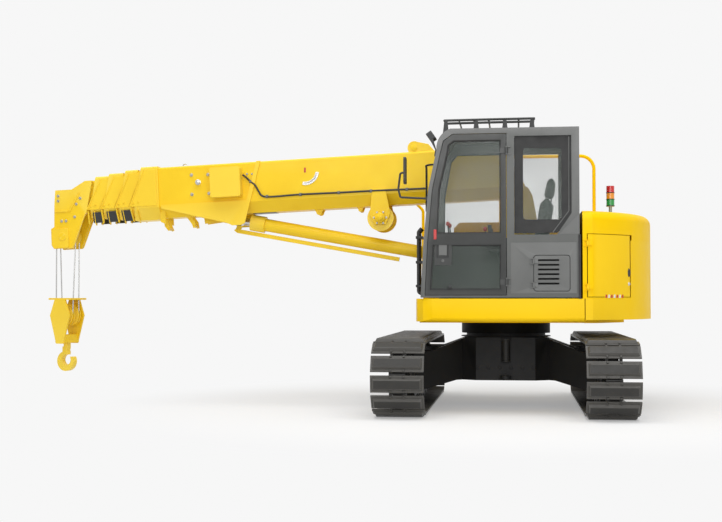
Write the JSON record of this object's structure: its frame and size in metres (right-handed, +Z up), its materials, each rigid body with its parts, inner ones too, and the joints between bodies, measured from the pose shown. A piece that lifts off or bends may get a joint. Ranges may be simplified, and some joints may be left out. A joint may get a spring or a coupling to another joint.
{
  "type": "telescopic crawler crane",
  "caption": "Telescopic-boom crawler crane: slewing upper with cab and counterweight on two steel tracks, luffing cylinder, hoist winch and hook block.",
  "frame": {"origin": "centre of the overall box, on the ground under the tracks", "axes": "+X towards the tail, so the boom points to -X; +Y from the cab side to the far side, along the tracks, which stand square to the boom; +Z up"},
  "size_m": [6.5252, 3.6038, 2.897],
  "materials": {
    "yellow_paint": "gloss",
    "cab_grey": "satin",
    "light_grey": "satin",
    "black_paint": "satin",
    "track_steel": "matte",
    "black_plastic": "matte",
    "window_glass": "gloss",
    "seat_fabric": "matte",
    "hose_rubber": "matte",
    "bright_steel": "satin",
    "lamp_lens": "gloss",
    "engine_iron": "matte"
  },
  "bodies": {
    "undercarriage": {"carbody": "black_paint", "idler_left": "track_steel", "idler_right": "track_steel", "slew_ring": "black_paint", "sprocket_left": "track_steel", "sprocket_right": "track_steel", "track_frame_left": "track_steel", "track_frame_right": "track_steel", "track_left": "track_steel", "track_right": "track_steel"},
    "upper": {"cab_consoles": "black_plastic", "cab_frame": "light_grey", "cab_rear_panel": "cab_grey", "cab_rear_window": "window_glass", "cab_right_window": "window_glass", "cab_side_window": "window_glass", "counterweight": "yellow_paint", "engine_block": "engine_iron", "engine_hood": "yellow_paint", "front_rail": "yellow_paint", "handrail": "yellow_paint", "hose_stack": "hose_rubber", "mirror_left": "black_plastic", "operator_seat": "seat_fabric", "revolving_frame": "yellow_paint", "roof_guard": "light_grey", "roof_window": "window_glass", "side_beam_left": "yellow_paint", "side_beam_right": "yellow_paint", "signal_tower": "lamp_lens", "tank_housing": "yellow_paint", "windscreen": "window_glass", "work_lamp": "black_plastic"},
    "cab_door": {"cab_door": "cab_grey", "door_glass": "window_glass"},
    "service_door": {"service_door": "yellow_paint"},
    "vent_hatch": {"vent_hatch": "cab_grey"},
    "boom_base": {"boom_base": "yellow_paint", "winch_frame": "yellow_paint", "winch_drum": "yellow_paint", "boom_side_box": "yellow_paint"},
    "boom_section_2": {"boom_section_2": "yellow_paint"},
    "boom_section_3": {"boom_section_3": "yellow_paint"},
    "boom_section_4": {"boom_section_4": "yellow_paint"},
    "boom_tip": {"boom_tip": "yellow_paint", "head_sheaves": "yellow_paint"},
    "hook_block": {"hoist_ropes": "bright_steel", "hook_block": "yellow_paint", "block_sheaves": "yellow_paint"},
    "hook": {"hook": "yellow_paint"},
    "luff_barrel": {"luff_barrel": "yellow_paint"},
    "luff_rod": {"luff_rod": "bright_steel"}
  },
  "joints": [
    {"name": "slew", "type": "hinge", "parent": "undercarriage", "child": "upper", "pos_m": [1.7625, 0, 0.82], "axis": [0, 0, 1], "continuous": true},
    {"name": "boom_luff", "type": "hinge", "parent": "upper", "child": "boom_base", "pos_m": [1.9125, 0, 2.2], "axis": [0, 1, 0], "range_deg": [0, 82.7]},
    {"name": "telescope_2", "type": "slide", "parent": "boom_base", "child": "boom_section_2", "axis": [-0.9989, 0, -0.0471], "range_m": [0, 2.8]},
    {"name": "telescope_3", "type": "slide", "parent": "boom_section_2", "child": "boom_section_3", "axis": [-0.9989, 0, -0.0471], "range_m": [0, 2.8]},
    {"name": "telescope_4", "type": "slide", "parent": "boom_section_3", "child": "boom_section_4", "axis": [-0.9989, 0, -0.0471], "range_m": [0, 2.8]},
    {"name": "telescope_tip", "type": "slide", "parent": "boom_section_4", "child": "boom_tip", "axis": [-0.9989, 0, -0.0471], "range_m": [0, 2.8]},
    {"name": "block_hang", "type": "hinge", "parent": "boom_tip", "child": "hook_block", "pos_m": [-3.07988, 0, 1.8144], "axis": [0, 1, 0], "range_deg": [-82.7, 0]},
    {"name": "hook_swivel", "type": "hinge", "parent": "hook_block", "child": "hook", "pos_m": [-3.07988, 0, 0.6], "axis": [0, 0, 1], "continuous": true},
    {"name": "luff_barrel_swing", "type": "hinge", "parent": "upper", "child": "luff_barrel", "pos_m": [1.0625, 0, 1.594], "axis": [0, 1, 0], "range_deg": [0, 83.87]},
    {"name": "luff_rod_slide", "type": "slide", "parent": "luff_barrel", "child": "luff_rod", "axis": [-0.9843, 0, 0.1766], "range_m": [0, 1.3787]},
    {"name": "cab_door_hinge", "type": "hinge", "parent": "upper", "child": "cab_door", "pos_m": [1.7825, -1.261, 1.8], "axis": [0, 0, 1], "range_deg": [0, 90]},
    {"name": "service_door_hinge", "type": "hinge", "parent": "upper", "child": "service_door", "pos_m": [2.5525, -1.258, 1.44], "axis": [0, 0, -1], "range_deg": [0, 80]},
    {"name": "vent_hatch_hinge", "type": "hinge", "parent": "upper", "child": "vent_hatch", "pos_m": [2.0415, -1.256, 1.374], "axis": [0, 0, -1], "range_deg": [0, 90]}
  ],
  "couplings": [
    {"joint": "telescope_3", "follows": "telescope_2", "ratio": 1},
    {"joint": "telescope_4", "follows": "telescope_2", "ratio": 1},
    {"joint": "telescope_tip", "follows": "telescope_2", "ratio": 1},
    {"joint": "block_hang", "follows": "boom_luff", "ratio": -1},
    {"joint": "luff_barrel_swing", "follows": "boom_luff", "ratio": 1.0139},
    {"joint": "luff_rod_slide", "follows": "boom_luff", "m_per_rad": 0.95481}
  ]
}
